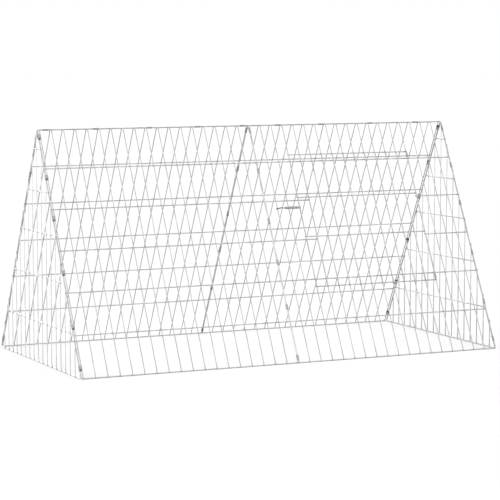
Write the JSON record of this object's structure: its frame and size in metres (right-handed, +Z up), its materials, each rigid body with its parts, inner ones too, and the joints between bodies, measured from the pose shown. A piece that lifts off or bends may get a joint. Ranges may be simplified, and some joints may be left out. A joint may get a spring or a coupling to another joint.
{
  "type": "chicken cage",
  "caption": "Ridge-tent shaped wire cage for chickens, open underneath: welded mesh panels clipped together, with a mesh door in one side held by a hooked spring.",
  "frame": {"origin": "on the ground, under the middle of the ridge", "axes": "+X along the ridge, to the right seen from the door's side; -Y towards the door's side; +Z up"},
  "size_m": [2.0062, 1.0228, 1.0061],
  "materials": {
    "mesh_wire": "galvanised, satin",
    "clip_sheet": "zinc plated, dull",
    "spring_wire": "spring steel, satin"
  },
  "bodies": {
    "frame": {"front_left_panel": "mesh_wire", "back_left_panel": "mesh_wire", "back_right_panel": "mesh_wire", "left_end_panel": "mesh_wire", "right_end_panel": "mesh_wire", "door_hinge_clip_upper": "clip_sheet", "door_hinge_clip_lower": "clip_sheet", "ridge_clips_left": "clip_sheet", "ridge_clips_right": "clip_sheet", "front_right_panel_left": "mesh_wire", "front_right_panel_right": "mesh_wire", "front_right_panel_over_door": "mesh_wire", "front_right_panel_under_door": "mesh_wire", "front_seam_clips": "clip_sheet", "back_seam_clips": "clip_sheet", "right_front_upper_clips": "clip_sheet", "left_front_upper_clips": "clip_sheet", "left_back_upper_clips": "clip_sheet", "right_back_upper_clips": "clip_sheet", "right_front_lower_clips": "clip_sheet", "left_front_lower_clips": "clip_sheet", "left_back_lower_clips": "clip_sheet", "right_back_lower_clips": "clip_sheet"},
    "door": {"door": "mesh_wire"},
    "latch": {"door_latch_spring": "spring_wire"}
  },
  "joints": [
    {"name": "door_hinge", "type": "hinge", "parent": "frame", "child": "door", "pos_m": [0.7648, -0.22609, 0.59254], "axis": [0, 0.4481, 0.894], "range_deg": [0, 170]},
    {"name": "latch_turn", "type": "hinge", "parent": "door", "child": "latch", "pos_m": [0.1598, -0.19999, 0.64462], "axis": [0, 0.4481, 0.894], "range_deg": [0, 120]}
  ]
}
